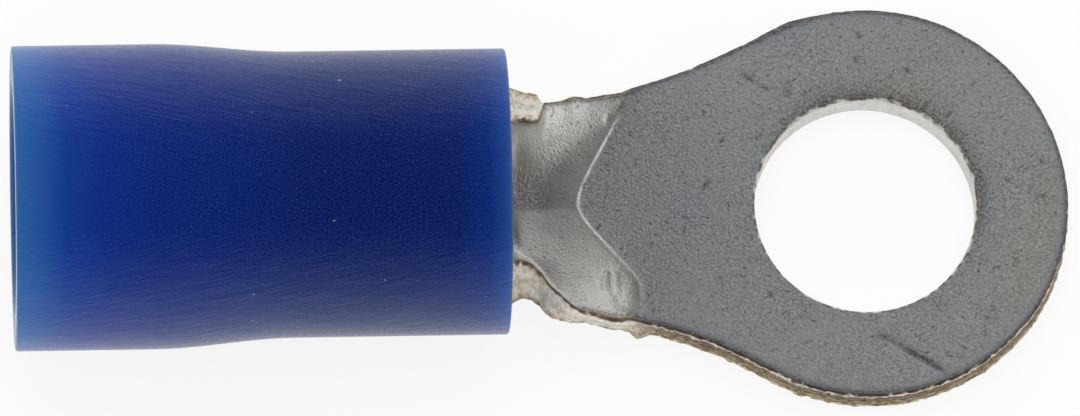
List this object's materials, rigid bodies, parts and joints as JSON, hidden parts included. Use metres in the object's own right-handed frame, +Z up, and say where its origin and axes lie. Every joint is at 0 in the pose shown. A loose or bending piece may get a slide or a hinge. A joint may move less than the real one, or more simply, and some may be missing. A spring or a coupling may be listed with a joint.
{
  "type": "insulated ring terminal",
  "caption": "Insulated crimp ring terminal: a flat stud ring of tinned copper runs through a curled neck into a crimp barrel inside a blue vinyl sleeve.",
  "frame": {"origin": "centre of the stud hole on the underside of the ring, the face that lies on the terminal block", "axes": "+Z up along the stud, +X towards the tip of the ring, so that the sleeve and the wire lie along -X, and +Y to the left of the terminal seen from above"},
  "size_m": [0.0206, 0.0079, 0.0059],
  "materials": {
    "tinned_copper": "matte",
    "blue_vinyl": "satin"
  },
  "bodies": {
    "root": {"terminal_body": "tinned_copper", "vinyl_sleeve": "blue_vinyl"}
  },
  "joints": []
}
